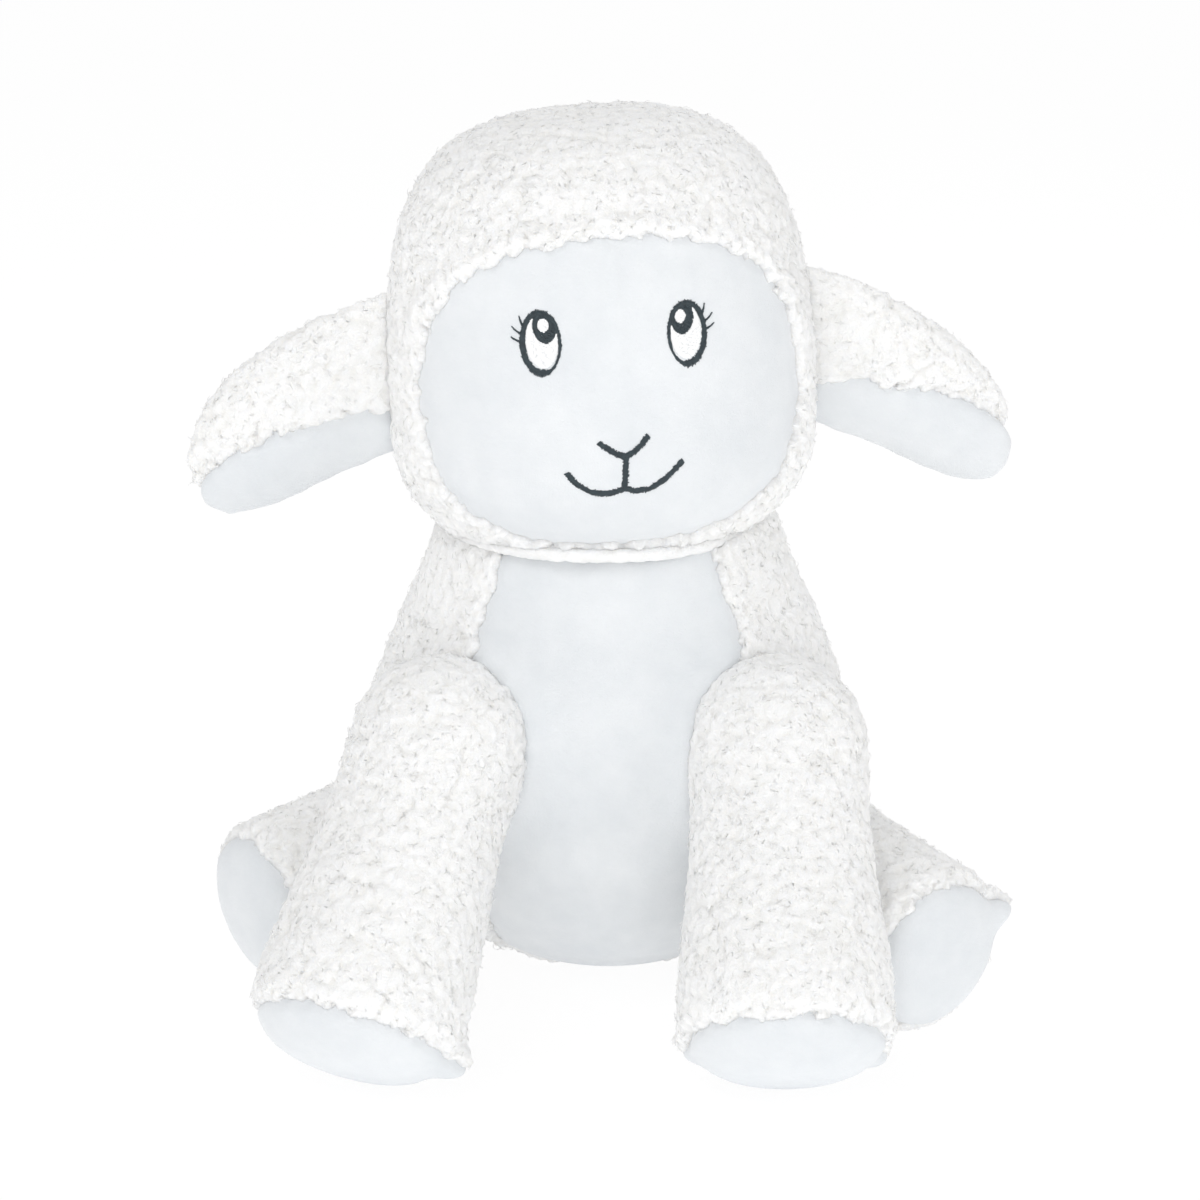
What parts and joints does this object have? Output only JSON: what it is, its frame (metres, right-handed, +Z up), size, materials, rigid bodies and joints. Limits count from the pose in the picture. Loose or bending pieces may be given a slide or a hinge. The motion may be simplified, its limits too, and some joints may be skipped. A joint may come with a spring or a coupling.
{
  "type": "plush sheep",
  "caption": "Sitting stuffed toy sheep with curly fleece, a smooth face, belly and soles, embroidered eyes and smile, drooping ears and soft sewn-on limbs that move.",
  "frame": {"origin": "middle of the flat seat, on the plane that the toy sits on", "axes": "+Z up, the toy faces -Y, its own left side is towards +X"},
  "size_m": [0.2188, 0.1932, 0.2312],
  "materials": {
    "fleece": "curly sherpa fleece, warm white",
    "short_pile": "short smooth plush pile, cool white",
    "dark_thread": "satin-stitched embroidery thread, dark slate",
    "white_thread": "satin-stitched embroidery thread, white",
    "stuffing": "loose polyester fibre",
    "pouch_cloth": "thin woven lining cloth",
    "pellets": "loose plastic pellets"
  },
  "bodies": {
    "body": {"body_fleece": "fleece", "belly_panel": "short_pile", "body_filling": "stuffing", "pellet_pouch": "pouch_cloth", "pellets": "pellets"},
    "neck": {"neck_seam": "fleece"},
    "head": {"head_fleece": "fleece", "face_panel": "short_pile", "head_filling": "stuffing", "eye_outline_right": "dark_thread", "eye_outline_left": "dark_thread", "eye_white_right": "white_thread", "eye_white_left": "white_thread", "pupil_right": "dark_thread", "pupil_left": "dark_thread", "eye_glint_right": "white_thread", "eye_glint_left": "white_thread", "nose_embroidery": "dark_thread", "mouth_embroidery": "dark_thread"},
    "ear_right": {"ear_fleece_right": "fleece", "ear_lining_right": "short_pile"},
    "ear_left": {"ear_fleece_left": "fleece", "ear_lining_left": "short_pile"},
    "tail": {"tail_fleece": "fleece"},
    "front_leg_right": {"front_leg_right_fleece": "fleece", "front_leg_right_sole": "short_pile", "front_leg_right_filling": "stuffing"},
    "front_leg_left": {"front_leg_left_fleece": "fleece", "front_leg_left_sole": "short_pile", "front_leg_left_filling": "stuffing"},
    "hind_leg_right": {"hind_leg_right_fleece": "fleece", "hind_leg_right_sole": "short_pile", "hind_leg_right_filling": "stuffing"},
    "hind_leg_left": {"hind_leg_left_fleece": "fleece", "hind_leg_left_sole": "short_pile", "hind_leg_left_filling": "stuffing"}
  },
  "joints": [
    {"name": "head_turn", "type": "hinge", "parent": "body", "child": "neck", "pos_m": [-0.002, -0.004, 0.16831], "axis": [0, 0, 1], "range_deg": [-30, 30], "stiffness_Nm_per_rad": 0.3},
    {"name": "head_nod", "type": "hinge", "parent": "neck", "child": "head", "pos_m": [-0.002, -0.004, 0.16831], "axis": [1, 0, 0], "range_deg": [-12, 12], "stiffness_Nm_per_rad": 0.4},
    {"name": "ear_right_flap", "type": "hinge", "parent": "head", "child": "ear_right", "pos_m": [-0.06115, -0.00616, 0.16321], "axis": [-0.0521, -0.0046, 0.9986], "range_deg": [-30, 30], "stiffness_Nm_per_rad": 0.03},
    {"name": "ear_left_flap", "type": "hinge", "parent": "head", "child": "ear_left", "pos_m": [0.05684, 0.00416, 0.16942], "axis": [0.0521, 0.0046, -0.9986], "range_deg": [-30, 30], "stiffness_Nm_per_rad": 0.03},
    {"name": "front_leg_right_raise", "type": "hinge", "parent": "body", "child": "front_leg_right", "pos_m": [-0.04282, -0.05017, 0.077], "axis": [-0.9063, 0.4226, 0], "range_deg": [0, 50], "stiffness_Nm_per_rad": 0.25},
    {"name": "front_leg_left_raise", "type": "hinge", "parent": "body", "child": "front_leg_left", "pos_m": [0.04282, -0.05017, 0.077], "axis": [-0.9998, -0.0175, 0], "range_deg": [0, 50], "stiffness_Nm_per_rad": 0.25},
    {"name": "hind_leg_right_splay", "type": "hinge", "parent": "body", "child": "hind_leg_right", "pos_m": [-0.04865, 0.00738, 0.029], "axis": [0, 0, -1], "range_deg": [0, 30], "stiffness_Nm_per_rad": 0.25},
    {"name": "hind_leg_left_splay", "type": "hinge", "parent": "body", "child": "hind_leg_left", "pos_m": [0.05056, -0.01337, 0.029], "axis": [0, 0, 1], "range_deg": [0, 30], "stiffness_Nm_per_rad": 0.25},
    {"name": "tail_wag", "type": "hinge", "parent": "body", "child": "tail", "pos_m": [0, 0.04569, 0.036], "axis": [0, 0, 1], "range_deg": [-20, 20], "stiffness_Nm_per_rad": 0.05}
  ]
}
